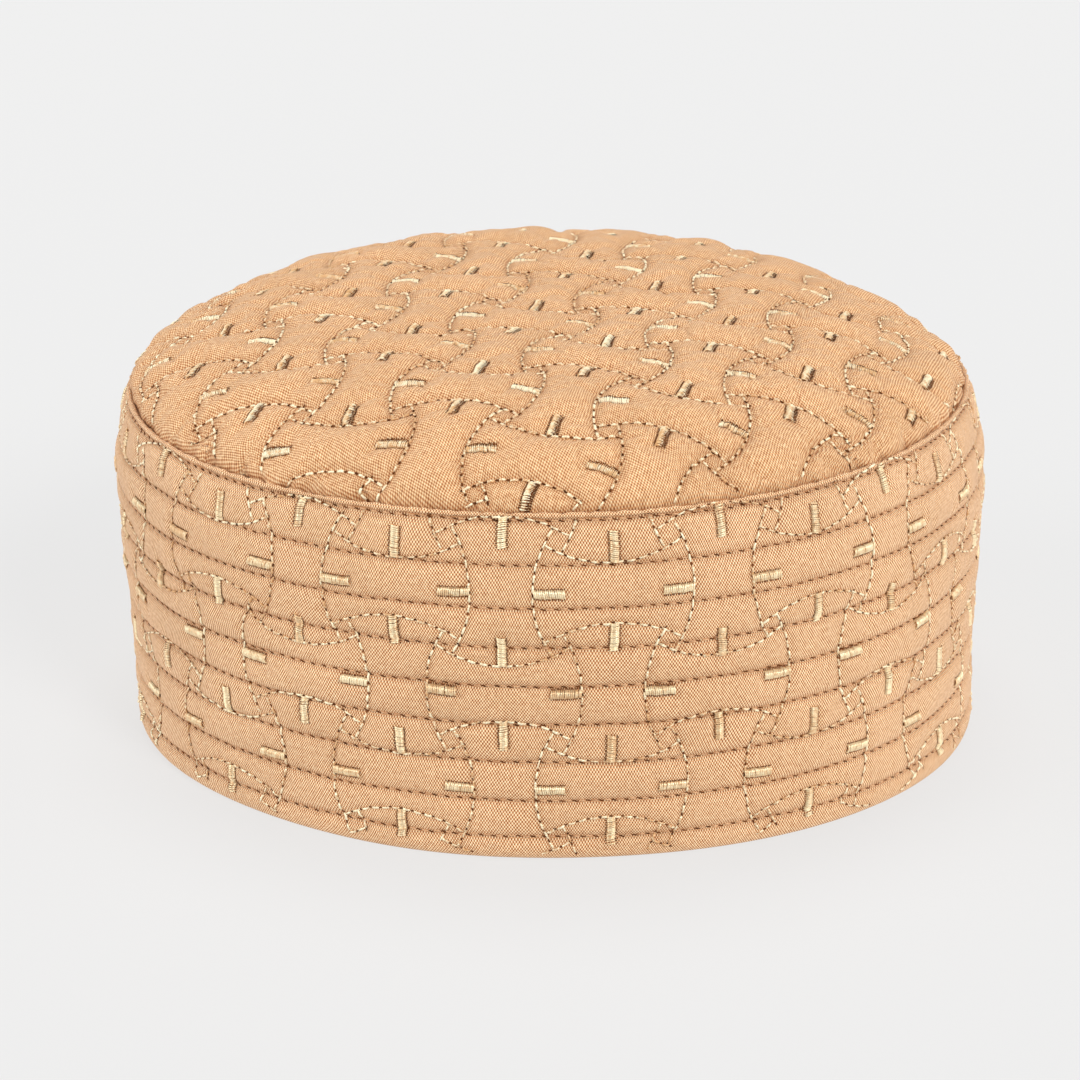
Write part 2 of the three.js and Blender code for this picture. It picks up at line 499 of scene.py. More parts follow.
# Stitch dimples
class Dimples:
    """Depth that stitches press into the cloth, summed on a fine grid in cloth millimetres."""

    def __init__(self, low, high):
        self.low = np.array(low, float)
        size = np.ceil((np.array(high) - self.low) / RASTER).astype(int) + 2 * RASTER_EDGE
        self.depth = np.zeros(size)

    def press(self, centres, along, length, width, depth):
        """Smooth dents round centres [n, xy], stretched along unit directions [n, xy]."""
        reach = int(math.ceil(2.4 * max(length, width) / RASTER))
        step = np.arange(-reach, reach + 1)
        base = np.floor((centres - self.low) / RASTER).astype(int) + RASTER_EDGE
        for i in step:
            for j in step:
                cell = base + (i, j)
                offset = (cell - RASTER_EDGE) * RASTER + self.low - centres
                a = (offset * along).sum(-1) / length
                b = (offset[:, 0] * along[:, 1] - offset[:, 1] * along[:, 0]) / width
                ok = ((cell >= 0) & (cell < self.depth.shape)).all(-1)
                amount = depth * np.exp(-0.5 * (a**2 + b**2))
                np.add.at(self.depth, (cell[ok, 0], cell[ok, 1]), amount[ok])

    def at(self, points):
        place = (points - self.low) / RASTER + RASTER_EDGE
        return bilinear(self.depth, place[..., 0], place[..., 1])


def directions(stitches):
    return unit(stitches[:, 1] - stitches[:, 0])


def soft_noise(points, size, count, seed):
    """Smooth random waves of about unit height, features about size mm."""
    source = np.random.default_rng(seed)
    total = 0
    for _ in range(count):
        heading = source.uniform(0, 2 * math.pi)
        rate = 2 * math.pi / (size * source.uniform(0.7, 1.6))
        phase = source.uniform(0, 2 * math.pi)
        wayward = points[..., 0] * math.cos(heading) + points[..., 1] * math.sin(heading)
        total = total + np.sin(rate * wayward + phase)
    return total / math.sqrt(count)


# The side band
def band_rows():
    """Section of the band from inside to outside: offset, height, place on the cloth, and 1
    where the cloth is free to swell."""
    rows = [(-2.0, 9.0, -13.0, 0), (-2.1, 5.2, -9.0, 0), (-2.1, 2.0, -5.0, 0)]
    rows += [(-1.8, 0.5, -2.8, 0), (-1.2, 0.0, -1.8, 0), (-0.4, 0.12, -0.9, 0), (0.15, 0.8, 0.4, 0)]
    rows += [(0.35, 2.2, 2.2, 1), (0.3, 3.7, 3.7, 1)]
    for low, high in zip(GROOVES[:-1], GROOVES[1:]):
        for step in range(CHANNEL_STEPS):
            share = step / CHANNEL_STEPS
            height = low + (high - low) * share
            puff = CHANNEL_START * math.sqrt(4 * share * (1 - share))
            rows.append((puff, height, height, 1 if step else 0))
    lip = [(0.0, 0.0, 0.0), (0.08, 0.35, 0.35), (0.03, 0.8, 0.8), (-0.2, 1.15, 1.2),
           (-0.6, 1.3, 1.65), (-1.1, 1.1, 2.2), (-1.55, 0.4, 3.0), (-2.0, -0.6, 4.2)]
    rows += [(offset, SEAM_HEIGHT + rise, SEAM_HEIGHT + place, 0) for offset, rise, place in lip]
    inner = [61.0, 56.5, 52.2, 47.9, 43.6, 39.3, 35.0, 30.7, 26.4, 22.1, 17.8, 13.4]
    for i, height in enumerate(inner):
        rows.append((-2.0 - 0.35 * (i % 2 == 0), height, INNER_PLACE - height, 0))
    return np.array(rows, float)


class Band:
    """The band's cloth as a grid [up the section, along the band], joined up both ways."""

    def __init__(self, stitches, bars):
        rows = band_rows()
        self.s = BAND_START + BAND_ROUND * np.arange(BAND_COLUMNS) / BAND_COLUMNS
        offset, height, self.v, free = rows.T
        angle = np.interp(self.s, BAND_LENGTHS, BAND_ANGLES)[None, :]
        radius = groove_radius(angle, height[:, None]) + offset[:, None]
        points = point_at(angle + 0 * radius, radius, lifted(angle, height[:, None]))
        places = np.stack(np.meshgrid(self.s, self.v), -1)
        loose = ~(held(places, stitches, BAND_HELD[0]) | held(places, bars, BAND_HELD[1]))
        swelled = self.swelled(points, free[:, None] * loose)
        rise = np.linalg.norm(swelled - points, axis=-1)
        self.rise = refine(refine(rise, 0, True), 1, True)
        self.outer = (np.argmax(self.v > 0), np.argmax(self.v > SEAM_HEIGHT + 6))
        self.refine(swelled)

    def swelled(self, points, free):
        rows, columns = points.shape[:2]
        r, c = grid_corners(rows, columns)
        faces = (r % rows) * columns + c % columns
        flat = swell(points.reshape(-1, 3), faces, free.ravel(),
                     BAND_PRESSURE, BAND_GROWTH, BAND_SWELL)
        return flat.reshape(points.shape)

    def refine(self, points):
        self.points = refine(refine(points, 0, True), 1, True)
        edges = np.append(self.v, INNER_PLACE - 9.0)
        self.v_edges = refine(edges, 0, False)
        self.v_edges[::2] = edges
        self.s_edges = BAND_START + np.linspace(0, BAND_ROUND, 2 * BAND_COLUMNS + 1)
        self.v = self.v_edges[:-1]
        self.normals = surface_normals(self.points, (True, True))

    def cloth_mm(self):
        s, v = np.meshgrid(self.s_edges[:-1], self.v)
        return np.stack([s, v], -1)

    def press(self, depth):
        """Moves the cloth inwards, but never below the surface that the rim stands on."""
        self.points = self.points - self.normals * depth[..., None]
        self.points[..., 2] = np.maximum(self.points[..., 2], 0.0)
        self.normals = surface_normals(self.points, (True, True))

    def at(self, places):
        """Points and normals at cloth places [.., along and height]."""
        low, high = self.outer[0] * 2, self.outer[1] * 2
        row = np.interp(places[..., 1], self.v[low:high], np.arange(low, high))
        column = (places[..., 0] - BAND_START) / BAND_ROUND * (2 * BAND_COLUMNS)
        column = np.mod(column, 2 * BAND_COLUMNS)
        wrap = [np.concatenate([t, t[:, :1]], 1) for t in (self.points, self.normals)]
        return bilinear(wrap[0], row, column), unit(bilinear(wrap[1], row, column))

    def piece(self, material, painted_cavity_shade):
        rows, columns = self.points.shape[:2]
        r, c = grid_corners(rows, columns)
        faces = (r % rows) * columns + c % columns
        uv = np.stack([self.s_edges[c], self.v_edges[r]], -1)
        points = self.points.reshape(-1, 3)
        return build("band_cloth", points, [faces], material, uv, painted_cavity_shade.ravel())


# The crown panel
def disc_from_square(u, v):
    return u * np.sqrt(1 - v * v / 2), v * np.sqrt(1 - u * u / 2)


def square_from_disc(x, y):
    def side(a, b):
        base, lean = 2 + a * a - b * b, 2 * math.sqrt(2) * a
        return (np.sqrt(np.maximum(base + lean, 0)) - np.sqrt(np.maximum(base - lean, 0))) / 2
    return side(x, y), side(y, x)


class Crown:
    """The crown's cloth as a square grid wrapped over the dome."""

    def __init__(self, stitches, bars):
        self.points, self.places = self.dome(CROWN_CELLS, 0)
        free = self.free_cloth(stitches, bars)
        flat = swell(self.points.reshape(-1, 3), square_faces(CROWN_CELLS), free.ravel(),
                     CROWN_PRESSURE, CROWN_GROWTH, CROWN_SWELL)
        points = flat.reshape(self.points.shape)
        rise = np.linalg.norm(points - self.points, axis=-1)
        self.rise = refine(refine(rise, 0, False), 1, False)
        self.points = refine(refine(points, 0, False), 1, False)
        self.places = self.dome(2 * CROWN_CELLS, 0)[1]
        self.normals = surface_normals(self.points, (False, False))

    def dome(self, cells, depth):
        """Grid over the dome with the cloth place of each point."""
        side = np.linspace(-1, 1, cells + 1)
        u, v = np.meshgrid(side, side)
        x, y = disc_from_square(u, v)
        angle = np.arctan2(x, -y)
        length = np.minimum(np.hypot(x, y), 1) * dome_length(angle)
        share = dome_share(length, crown_edge(angle))
        places = np.stack([length * np.sin(angle), -length * np.cos(angle)], -1)
        points = dome_point(angle, share, depth)
        if depth == 0:
            bulge = CROWN_BULGE * soft_step((share - 0.79) / 0.195)
            tuck = np.clip((share - 0.985) / 0.015, 0, 1)
            outwards = bulge - CROWN_TUCK * tuck
            points[..., 0] += np.sin(angle) * outwards
            points[..., 1] -= np.cos(angle) * outwards
            sunk = around(angle, SUNK) * soft_step((share - 0.45) / 0.45)
            points[..., 2] += 0.4 * bulge - CROWN_TUCK_DOWN * tuck - sunk
        return points, places

    def free_cloth(self, stitches, bars):
        """0 within reach of a stitch and along the edge, 1 elsewhere."""
        by_stitch = held(self.places, stitches, CROWN_HELD[0])
        free = 1.0 - (by_stitch | held(self.places, bars, CROWN_HELD[1]))
        free[[0, -1], :] = 0
        free[:, [0, -1]] = 0
        return free

    def press(self, depth):
        self.points = self.points - self.normals * depth[..., None]
        self.normals = surface_normals(self.points, (False, False))

    def at(self, places):
        angle, share = crown_angle(places), crown_share(places)
        u, v = square_from_disc(share * np.sin(angle), -share * np.cos(angle))
        row, column = (v + 1) * CROWN_CELLS, (u + 1) * CROWN_CELLS
        return bilinear(self.points, row, column), unit(bilinear(self.normals, row, column))

    def piece(self, material, painted_cavity_shade):
        """Closed pad: the fine outside, the turned-down edge and a coarser inside."""
        fine, coarse = 2 * CROWN_CELLS, LINING_CELLS
        lining, lining_places = self.dome(coarse, CROWN_WALL)
        lining, lining_places = lining.reshape(-1, 3), lining_places.reshape(-1, 2)
        outside, outside_places = self.points.reshape(-1, 3), self.places.reshape(-1, 2)
        rim, edge = border(fine), border(coarse)
        angle = crown_angle(outside_places[rim])
        points, places, loops, inner = [outside], [outside_places], [rim], []
        count = len(outside)
        for inset, drop in CROWN_SKIRT:
            near = angle if inset == 0 else angle[:: fine // coarse]
            ring = outside_places[rim] if inset == 0 else lining_places[edge]
            height = SEAM_HEIGHT + EDGE_ABOVE_SEAM - drop
            points.append(point_at(near, crown_edge(near) - inset, lifted(near, height)))
            places.append(ring * (1 + drop / 90))
            (inner if inset else loops).append(np.arange(count, count + len(near)))
            count += len(near)
        inner.append(edge + count)
        walls = [strip(a, b) for group in (loops, inner) for a, b in zip(group[:-1], group[1:])]
        walls.append(fan_strip(loops[-1], inner[0]))
        faces = [square_faces(fine), *walls, square_faces(coarse)[:, ::-1] + count]
        points, places = np.concatenate([*points, lining]), np.concatenate([*places, lining_places])
        corners = np.concatenate([g.ravel() for g in faces])
        values = np.zeros(len(points))
        values[: painted_cavity_shade.size] = painted_cavity_shade.ravel()
        return build("crown_cloth", points, faces, material, places[corners], values)


def square_faces(cells):
    """Faces of a square grid of points."""
    r, c = grid_corners(cells, cells)
    return r * (cells + 1) + c


def border(cells):
    """Point numbers round the edge of a square grid, anticlockwise seen from above."""
    n = cells + 1
    low = np.arange(0, cells)
    right = np.arange(0, cells) * n + cells
    high = cells * n + np.arange(cells, 0, -1)
    left = np.arange(cells, 0, -1) * n
    return np.concatenate([low, right, high, left])


def strip(upper, lower):
    """Faces between two loops of the same length, facing outwards when lower is below."""
    return np.stack([lower, np.roll(lower, -1), np.roll(upper, -1), upper], -1)


def fan_strip(fine, coarse):
    """Faces between a fine loop and a coarser one."""
    ratio = len(fine) // len(coarse)
    start = np.arange(len(coarse)) * ratio
    arc = [fine[(start + i) % len(fine)] for i in range(ratio, -1, -1)]
    return np.stack([coarse, np.roll(coarse, -1), *arc], -1)


# Threads
def tubes(name, centres, ups, widths, heights, sides, material):
    """Threads as tubes. centres and ups are [thread, point, xyz], sizes [thread, point]."""
    along = unit(np.gradient(centres, axis=1))
    across = unit(np.cross(ups, along))
    high = np.cross(along, across)
    turn = 2 * math.pi * (np.arange(sides) + 0.5) / sides
    side = np.cos(turn)[:, None] * across[:, :, None, :] * (widths / 2)[..., None, None]
    rise = np.sin(turn)[:, None] * high[:, :, None, :] * (heights / 2)[..., None, None]
    points = centres[:, :, None, :] + side + rise
    threads, rings = centres.shape[:2]
    t, r, k = np.meshgrid(np.arange(threads), np.arange(rings - 1), np.arange(sides), indexing="ij")
    base = (t * rings + r) * sides
    after = (k + 1) % sides
    walls = np.stack([base + k, base + after, base + sides + after, base + sides + k], -1)
    walls = walls.reshape(-1, 4)
    first = np.arange(threads)[:, None] * rings * sides + np.arange(sides)
    caps = [first[:, ::-1], first + (rings - 1) * sides]
    length = np.linalg.norm(np.diff(centres, axis=1), axis=-1).cumsum(1)
    length = np.concatenate([np.zeros((threads, 1)), length / length[:, -1:]], 1)
    uv = [np.stack([length[t, r + i], (k + j) / sides], -1)
          for i, j in ((0, 0), (0, 1), (1, 1), (1, 0))]
    uv = [np.stack(uv, -2).reshape(-1, 2)]
    uv = np.concatenate([*uv, np.zeros((threads * sides, 2)), np.ones((threads * sides, 2))])
    return build(name, points.reshape(-1, 3), [walls, *caps], material, uv)


def stitch_threads(name, cloth, stitches, size, material):
    """One short thread for each stitch [n, end, xy], diving into the cloth at both ends."""
    width, rise, sink, first, last = size
    share = first + (last - first) * np.array([0.0, 0.14, 0.5, 0.86, 1.0])
    places = stitches[:, :1] + (stitches[:, 1:] - stitches[:, :1]) * share[None, :, None]
    ground, ups = cloth.at(places)
    lift = rise * np.array([0, 0.75, 1, 0.75, 0]) - sink
    jitter = rng.uniform(0.78, 1.18, (len(stitches), 1))
    centres = ground + ups * (lift * jitter)[..., None]
    thick = width * jitter * np.array([0.45, 0.95, 1.05, 0.95, 0.45])
    return tubes(name, centres, ups, thick, thick * 0.8, 4, material)


def bar_threads(name, cloth, bars, arch, section, material):
    """Satin bars: threads laid side by side across the width of each bar, from its near or left
    side to its far or right side. Also gives the two needle holes of each thread."""
    bars = np.array(bars)
    way = directions(bars)
    across = np.stack([-way[:, 1], way[:, 0]], -1)
    across = across * np.where(across @ (0.5, 1.0) < 0, -1, 1)[:, None]
    place = (np.arange(BAR_THREADS) + 0.5) / BAR_THREADS
    middle = bars[:, None, 0] + (bars[:, None, 1] - bars[:, None, 0]) * place[None, :, None]
    middle = middle + rng.normal(0, 0.035, middle.shape)
    share, heights, sizes = np.array(section)
    width = BAR_WIDTH * rng.uniform(0.94, 1.06, (len(bars), BAR_THREADS, 1, 1))
    slant = (share * 0.25)[None, None, :, None] * way[:, None, None]
    places = middle[:, :, None] + across[:, None, None] * share[None, None, :, None] * width + slant
    places = places.reshape(-1, len(share), 2)
    ground, ups = cloth.at(places)
    lift = arch * heights * rng.uniform(0.85, 1.15, (len(places), 1))
    centres = ground + ups * lift[..., None]
    thick = BAR_THREAD * sizes * np.ones(lift.shape)
    sides = np.array([[-BAR_NEEDLE], [BAR_NEEDLE]]) * BAR_WIDTH
    needles = middle[:, :, None] + across[:, None, None] * sides
    return tubes(name, centres, ups, thick, thick * 0.85, 4, material), needles.reshape(-1, 2, 2)


def marks(name, cloth, places, along, size, material, corners=6):
    """Painted shade of needle holes: small dark flat ovals just over the cloth."""
    length, width, lift = size
    turn = 2 * math.pi * np.arange(corners) / corners
    across = np.stack([-along[:, 1], along[:, 0]], -1)
    ring = np.cos(turn)[None, :, None] * along[:, None] * (length / 2)
    ring = ring + np.sin(turn)[None, :, None] * across[:, None] * (width / 2)
    points, ups = cloth.at(places[:, None] + ring)
    points = points + ups * lift
    faces = np.arange(points.shape[0] * corners).reshape(-1, corners)
    return build(name, points.reshape(-1, 3), [faces], material)


# Materials
def srgb(red, green, blue):
    """Linear colour for an sRGB colour given in 0 to 255."""
    values = [c / 255 for c in (red, green, blue)]
    linear = [c / 12.92 if c < 0.04045 else ((c + 0.055) / 1.055) ** 2.4 for c in values]
    return (*linear, 1.0)


def node(tree, kind, inputs=None, **settings):
    """Adds a node; inputs are numbers or other nodes' sockets. Returns its first output."""
    new = tree.nodes.new(kind)
    for key, value in settings.items():
        setattr(new, key, value)
    for key, value in (inputs or {}).items():
        if isinstance(value, bpy.types.NodeSocket):
            tree.links.new(value, new.inputs[key])
        else:
            new.inputs[key].default_value = value
    return new.outputs[0]


def math_node(tree, operation, a, b=0.0):
    return node(tree, "ShaderNodeMath", {0: a, 1: b}, operation=operation)


def vector_node(tree, operation, a, b):
    return node(tree, "ShaderNodeVectorMath", {0: a, 1: b}, operation=operation)


def noise(tree, place, scale, detail=2.0):
    """Smooth noise, features about one over scale long."""
    return node(tree, "ShaderNodeTexNoise", {"Vector": place, "Scale": scale, "Detail": detail})


def ramp(tree, factor, stops):
    """Colour ramp through (place, colour) stops."""
    colour = node(tree, "ShaderNodeValToRGB", {0: factor})
    elements = colour.node.color_ramp.elements
    while len(elements) < len(stops):
        elements.new(0.5)
    for element, (place, value) in zip(elements, stops):
        element.position = place
        element.color = value
    return colour


def mix(tree, mode, factor, first, second):
    new = tree.nodes.new("ShaderNodeMix")
    new.data_type = "RGBA"
    new.blend_type = mode
    for socket, value in ((new.inputs[0], factor), (new.inputs[6], first), (new.inputs[7], second)):
        if isinstance(value, bpy.types.NodeSocket):
            tree.links.new(value, socket)
        else:
            socket.default_value = value
    return new.outputs[2]


def principled(name, **values):
    material = bpy.data.materials.new(name)
    material.use_nodes = True
    shader = material.node_tree.nodes["Principled BSDF"]
    for key, value in values.items():
        shader.inputs[key.replace("_", " ")].default_value = value
    return material, material.node_tree, shader


def cloth_material(name, turn, tint, contrast):
    """Plain woven cotton: rows of pale grains with brown gaps, in cloth millimetres."""
    material, tree, shader = principled(name, Roughness=0.62, Specular_IOR_Level=0.35,
                                        Sheen_Weight=0.1, Sheen_Roughness=0.45)
    uv = node(tree, "ShaderNodeUVMap", uv_map="cloth_mm")
    wander = noise(tree, uv, 0.035, 1.0).node.outputs["Color"]
    wander = vector_node(tree, "SUBTRACT", wander, (0.5, 0.5, 0.5))
    wander = vector_node(tree, "MULTIPLY", wander, (WEAVE_DRIFT, WEAVE_DRIFT, 0.0))
    place = vector_node(tree, "ADD", uv, wander)
    place = node(tree, "ShaderNodeMapping", {"Vector": place, "Rotation": (0, 0, turn)})
    axes = node(tree, "ShaderNodeSeparateXYZ", {0: place}).node.outputs
    across = math_node(tree, "MULTIPLY", axes[0], 2 * math.pi / GRAIN_WIDTH)
    along = math_node(tree, "MULTIPLY", axes[1], math.pi / GRAIN_HEIGHT)
    across, along = (math_node(tree, "COSINE", phase) for phase in (across, along))
    weave = math_node(tree, "MULTIPLY", across, along)
    grit = noise(tree, uv, 1.1)
    grain = math_node(tree, "MULTIPLY_ADD", weave, contrast)
    grain.node.inputs[2].default_value = 0.5
    loose = math_node(tree, "MULTIPLY_ADD", math_node(tree, "SUBTRACT", grit, 0.5), 0.5)
    tree.links.new(grain, loose.node.inputs[2])
    colour = ramp(tree, loose, [(at, srgb(*np.multiply(tone, tint))) for at, tone in GRAIN_TONES])
    patches = noise(tree, uv, 0.045, 3.0)
    patches = ramp(tree, patches, [(0.3, (0.90, 0.89, 0.87, 1)), (0.7, (1.0, 1.0, 1.0, 1))])
    colour = mix(tree, "MULTIPLY", 0.8, colour, patches)
    # Painted shade: the cloth is darker in stitch dents, in the valleys between its puffs and in the
    # seam crease, read from a point attribute.
    painted_cavity_shade = node(tree, "ShaderNodeAttribute", attribute_name="painted_cavity_shade").node.outputs["Fac"]
    shade = ramp(tree, painted_cavity_shade, [(0.08, (1, 1, 1, 1)), (0.62, (0.62, 0.50, 0.40, 1))])
    colour = mix(tree, "MULTIPLY", 0.75, colour, shade)
    tree.links.new(colour, shader.inputs["Base Color"])
    height = math_node(tree, "MULTIPLY_ADD", grit, 0.35)
    tree.links.new(weave, height.node.inputs[2])
    bump = node(tree, "ShaderNodeBump", {"Strength": 0.6, "Distance": 0.0001, "Height": height})
    tree.links.new(bump, shader.inputs["Normal"])
    return material


def thread_material(name, dark, light, metal, roughness):
    """Thread with painted shade towards both ends, where it dives into its needle holes; u runs from 0
    to 1 along it.
    Silk's glint across the strands comes from an anisotropic, partly metallic shader."""
    material, tree, shader = principled(
        name, Roughness=roughness, Metallic=metal, Specular_IOR_Level=0.9, Anisotropic=0.85,
        Anisotropic_Rotation=0.25)
    strand = node(tree, "ShaderNodeTangent", direction_type="UV_MAP", uv_map="cloth_mm")
    tree.links.new(strand, shader.inputs["Tangent"])
    uv = node(tree, "ShaderNodeUVMap", uv_map="cloth_mm")
    axes = node(tree, "ShaderNodeSeparateXYZ", {0: uv}).node.outputs
    turns = math_node(tree, "MULTIPLY", axes[0], 4.0)
    plies = math_node(tree, "ADD", turns, math_node(tree, "MULTIPLY", axes[1], 2.0))
    plies = math_node(tree, "SINE", math_node(tree, "MULTIPLY", plies, 2 * math.pi))
    object_place = node(tree, "ShaderNodeTexCoord").node.outputs["Object"]
    fine, broad = noise(tree, object_place, 1100.0, 1.0), noise(tree, object_place, 70.0, 1.0)
    tone = math_node(tree, "MULTIPLY", math_node(tree, "ADD", fine, broad), 0.5)
    tone = math_node(tree, "ADD", tone, math_node(tree, "MULTIPLY", plies, 0.05))
    colour = ramp(tree, tone, [(0.4, dark), (0.58, light)])
    # Painted shade: each thread is darker towards both ends, where it dives into the cloth.
    from_middle = math_node(tree, "ABSOLUTE", math_node(tree, "SUBTRACT", axes[0], 0.5))
    ends = ramp(tree, from_middle, [(0.40, (1, 1, 1, 1)), (0.48, srgb(120, 78, 48))])
    colour = mix(tree, "MULTIPLY", 1.0, colour, ends)
    tree.links.new(colour, shader.inputs["Base Color"])
    return material


# Dark brown, a little mottled: the painted shade of needle holes and of the gaps beside the crown's
# bars.
def mark_material():
    material, tree, shader = principled("painted_hole_shade", Roughness=0.9, Specular_IOR_Level=0.1)
    place = node(tree, "ShaderNodeTexCoord").node.outputs["Object"]
    colour = ramp(tree, noise(tree, place, 300.0), [(0.3, srgb(66, 34, 15)), (0.7, srgb(116, 68, 35))])
    tree.links.new(colour, shader.inputs["Base Color"])
    return material


# The cap
def keep_piece(piece):
    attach(piece, "root")


def keep_pad(piece, node_name):
    keep_piece(piece)
    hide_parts(node_name)


def topstitches():
    """Rows of stitches round the band, then the seam up its back: [n, end, (along, height)]."""
    found = []
    for height in GROOVES:
        count = round((BAND_ROUND - 1) / TOPSTITCH_PITCH)
        start = BAND_START + rng.uniform(0, TOPSTITCH_PITCH)
        s = start + np.arange(count) * BAND_ROUND / count + rng.normal(0, 0.08, count)
        row = height + rng.normal(0, 0.05, count)
        first = np.stack([s, row + TOPSTITCH_SLANT], -1)
        last = np.stack([s + TOPSTITCH_LENGTH, row - TOPSTITCH_SLANT], -1)
        found.append(np.stack([first, last], 1))
    height = np.arange(1.5, SEAM_HEIGHT - 3, TOPSTITCH_PITCH)
    seam = np.stack([np.full(len(height), BAND_START), height], -1)
    found.append(np.stack([seam, seam + (0, BACK_STITCH_LENGTH)], 1))
    return np.concatenate(found)


def bar_edges(bars, count=6):
    """Places along both long sides of the bars, count on each, with the direction of each."""
    bars = np.array(bars)
    way = directions(bars)
    across = np.stack([-way[:, 1], way[:, 0]], -1)
    share = np.linspace(0.05, 0.95, count)[None, :, None, None]
    middle = bars[:, None, None, 0] + (bars[:, 1] - bars[:, 0])[:, None, None] * share
    places = middle + across[:, None, None] * np.array([[-0.62], [0.62]]) * BAR_WIDTH
    return places.reshape(-1, 2), np.repeat(way, 2 * count, 0)


def dent_band(band, rows, stitches, bars):
    """How deep the stitches press into the band, all over its cloth."""
    dimples = Dimples((BAND_START - 4, -16), (BAND_START + BAND_ROUND + 4, 2 * SEAM_HEIGHT + 10))
    ways = directions(rows)
    dimples.press(rows[:, 1] + ways * 0.5, ways, *ROW_HOLE_DENT)
    dimples.press(rows.mean(1), ways, *ROW_DENT)
    seam = rows[rows[:, 0, 0] == rows[:, 1, 0]].mean(1)
    for side in (0, BAND_ROUND):
        upwards = np.tile([0.0, 1.0], (len(seam), 1))
        dimples.press(seam + (side, 0), upwards, *BACK_SEAM_DENT)
    dimples.press(stitches[:, 1], directions(stitches), *BAND_HOLE_DENT)
    dimples.press(stitches.mean(1), directions(stitches), *BAND_STITCH_DENT)
    dimples.press(*bar_edges(bars), *BAR_EDGE_DENT)
    return dimples.at(band.cloth_mm()) * (band.v < SEAM_HEIGHT + 5)[:, None]


def ripple_band(band):
    """Slack waves in the band's face, and gathers in the lip between its stitches."""
    places = band.cloth_mm()
    waves = soft_noise(places * (1, 1.6), 26, 7, 5) * 0.16
    waves = waves * ((band.v > 3) & (band.v < SEAM_HEIGHT))[:, None]
    gathers = 0.1 * np.cos(2 * math.pi * band.s_edges[:-1] / TOPSTITCH_PITCH)
    gathers = gathers + 0.12 * soft_noise(places * (1, 0.5), 6, 6, 11)
    lip = (band.v > SEAM_HEIGHT + 0.2) & (band.v < SEAM_HEIGHT + 2.6)
    return waves + gathers * lip[:, None]


def keep_band_holes(band, rows, stitches, ends, dark):
    # Painted shade of the band's needle holes, as dark ovals on the cloth.
    ways = directions(rows)
    slant = ways + np.stack([ways[:, 1], -ways[:, 0]], -1) * 0.12
    along, across = directions(stitches), np.repeat(directions(ends), 2, 0)
    for name, places, way, size, corners in (
            ("band_topstitch_hole_painted_shade", rows[:, 1] + ways * 0.5, slant, ROW_HOLE, 8),
            ("band_run_hole_painted_shade", stitches[:, 1], along, BAND_HOLE, 6),
            ("band_bar_hole_painted_shade", ends.reshape(-1, 2), across, BAND_BAR_HOLE, 6)):
        keep_piece(marks(name, band, places, way, size, dark, corners))


def make_band(cloth, thread, silk, tan_thread, dark):
    """The band: its padded cloth, then its threads, then the painted shade of their needle holes."""
    stitches, bars = pattern(*BAND_TILES, BAND_TILE, band_place, on_band)
    rows = topstitches()
    band = Band(stitches, bars)
    depth = dent_band(band, rows, stitches, bars)
    band.press(depth + ripple_band(band))
    # Painted shade for the cloth's colour, not its shape: the dents' depth, plus darker valleys where
    # the cloth swelled little, plus a dark crease where the lip turns in.
    depth = depth + 0.1 * (1 - soft_step(band.rise / 0.4))
    depth = depth + 0.5 * soft_step((band.v - SEAM_HEIGHT - 1.4) / 0.8)[:, None]
    keep_pad(band.piece(cloth, depth), "side_band")
    run = stitch_threads("band_run_stitches", band, stitches, BAND_RUN, thread)
    satin, ends = bar_threads("band_satin_bars", band, bars, BAND_ARCH, EVEN_BAR, silk)
    top = stitch_threads("band_topstitching", band, rows, TOPSTITCH, tan_thread)
    keep_piece(run)
    keep_piece(satin)
    keep_piece(top)
    keep_band_holes(band, rows, stitches, ends, dark)


def dent_crown(crown, stitches, bars):
    """How deep the stitches press into the crown, as sharp dents and as broad folds."""
    sharp, broad = Dimples((-112, -112), (112, 112)), Dimples((-112, -112), (112, 112))
    ways = directions(stitches)
    sharp.press(stitches[:, 1], ways, *CROWN_HOLE_DENT)
    sharp.press(stitches.mean(1), ways, *CROWN_STITCH_DENT)
    sharp.press(*bar_edges(bars), *BAR_EDGE_DENT)
    broad.press(stitches.mean(1), ways, *CROWN_FOLD)
    return sharp.at(crown.places), broad.at(crown.places)


def ripple_crown(crown):
    """Slack waves over the crown, and gathers round its edge."""
    edge = np.hypot(crown.places[..., 0], crown.places[..., 1]) / 92
    waves = soft_noise(crown.places, 30, 8, 9) * 0.3 * np.clip(1.3 - edge, 0, 1)
    return waves + soft_noise(crown.places, 9, 8, 12) * 0.16 * soft_step((edge - 0.8) / 0.15)


def keep_crown_holes(crown, stitches, ends, dark):
    """Painted shade of the needle holes, and painted shade in the gaps between the slack threads along
    one side of each bar.
    """
    across = directions(ends)
    slack = ends[:, 0] + (ends[:, 1] - ends[:, 0]) * SLACK_PLACE
    for name, places, way, size in (
            ("crown_run_hole_painted_shade", stitches[:, 1], directions(stitches), CROWN_HOLE),
            ("crown_bar_hole_painted_shade", ends.reshape(-1, 2), np.repeat(across, 2, 0), CROWN_BAR_HOLE),
            ("crown_bar_gap_painted_shade", slack, across, CROWN_BAR_SHADE)):
        keep_piece(marks(name, crown, places, way, size, dark))


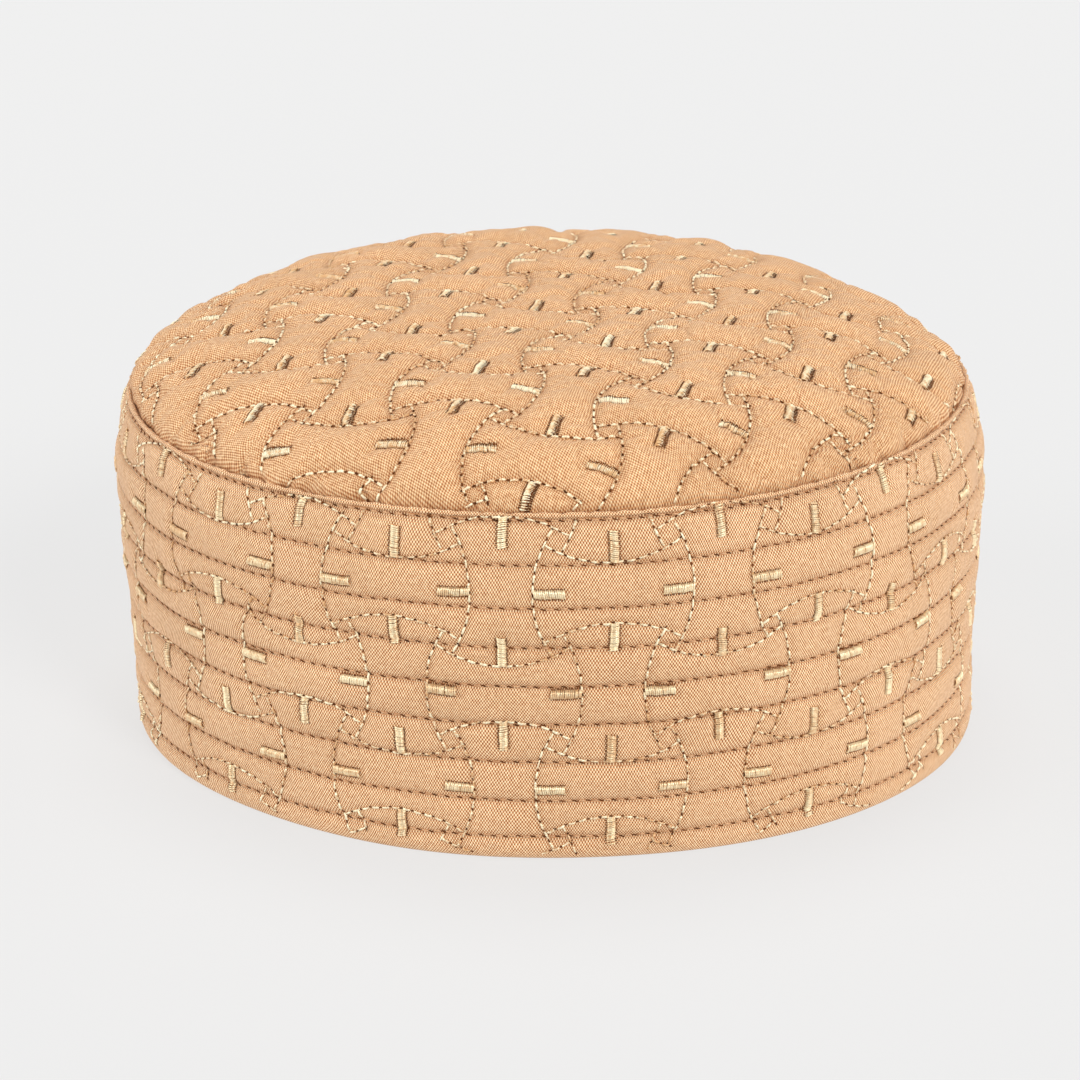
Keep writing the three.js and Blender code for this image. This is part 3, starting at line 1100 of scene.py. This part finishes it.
def make_crown(cloth, thread, silk, dark):
    stitches, bars = pattern(*CROWN_TILES, CROWN_TILE, crown_place, on_crown)
    crown = Crown(stitches, bars)
    depth, folds = dent_crown(crown, stitches, bars)
    crown.press(depth + folds + ripple_crown(crown))
    # Painted shade for the cloth's colour, not its shape: the dents, part of the folds, darker valleys
    # where the cloth swelled little, and a dark crease at the crown's edge.
    depth = depth + 0.2 * folds + 0.12 * (1 - soft_step(crown.rise / 1.1))
    depth = depth + 0.5 * soft_step((crown_share(crown.places) - 0.98) / 0.02)
    keep_pad(crown.piece(cloth, depth), "crown_panel")
    run = stitch_threads("crown_run_stitches", crown, stitches, CROWN_RUN, thread)
    satin, ends = bar_threads("crown_satin_bars", crown, bars, CROWN_ARCH, SLACK_BAR, silk)
    keep_piece(run)
    keep_piece(satin)
    keep_crown_holes(crown, stitches, ends, dark)


# Floor, light, camera
def add_floor():
    size = 3.0
    corners = [(-size, -size, 0), (size, -size, 0), (size, size, 0), (-size, size, 0)]
    mesh = bpy.data.meshes.new("floor")
    mesh.from_pydata(corners, [], [(0, 1, 2, 3)])
    material, tree, shader = principled("floor", Roughness=0.9, Base_Color=(0.13, 0.13, 0.13, 1))
    shader.inputs["Emission Color"].default_value = (1, 1, 1, 1)
    shader.inputs["Emission Strength"].default_value = 0.668
    mesh.materials.append(material)
    add_object("floor", mesh)


def add_light(name, source, strength, softness):
    """Soft light from a direction, the same all over the scene."""
    data = bpy.data.lights.new(name, "SUN")
    data.energy = strength
    data.angle = math.radians(softness)
    data.color = (1.0, 0.995, 0.985)
    light = add_object(name, data)
    light.rotation_euler = (-Vector(source)).to_track_quat("-Z", "Y").to_euler()


def add_lights():
    for light in LIGHTS:
        add_light(*light)
    world = bpy.data.worlds.new("studio")
    world.use_nodes = True
    background = world.node_tree.nodes["Background"]
    background.inputs["Color"].default_value = (1, 1, 1, 1)
    background.inputs["Strength"].default_value = 0.35
    bpy.context.scene.world = world
    bpy.context.scene.view_settings.view_transform = "Standard"


def add_camera():
    e, roll = CAMERA_ELEVATION, CAMERA_ROLL
    forward = Vector((0, math.cos(e), -math.sin(e)))
    right, up = Vector((1, 0, 0)), Vector((0, math.sin(e), math.cos(e)))
    right, up = (right * math.cos(roll) + up * math.sin(roll),
                 up * math.cos(roll) - right * math.sin(roll))
    data = bpy.data.cameras.new("camera")
    data.sensor_width = 36.0
    data.lens = CAMERA_LENS
    data.clip_start = 0.01
    camera = add_object("camera", data)
    turn = Matrix((right, up, -forward)).transposed().to_4x4()
    camera.matrix_world = Matrix.Translation(Vector(CAMERA_AIM) - forward * CAMERA_AWAY) @ turn
    bpy.context.scene.camera = camera


add_camera()
gold = thread_material("embroidery_thread", srgb(214, 164, 110), srgb(255, 243, 208), 0.2, 0.42)
silk = thread_material("satin_thread", srgb(230, 189, 140), srgb(255, 236, 195), 0.35, 0.4)
tan = thread_material("topstitch_thread", srgb(186, 134, 90), srgb(220, 172, 126), 0.0, 0.6)
dark = mark_material()
band_cotton = cloth_material("band_cloth", 0.0, (1.025, 1.0, 0.97), 0.56)
make_band(band_cotton, gold, silk, tan, dark)
glossy = thread_material("glossy_satin_thread", srgb(228, 182, 126), srgb(255, 244, 210), 0.1, 0.5)
crown_cotton = cloth_material("crown_cloth", CROWN_TILE_TURN, (0.995, 0.975, 0.935), 0.36)
make_crown(crown_cotton, gold, glossy, dark)
add_floor()
add_lights()
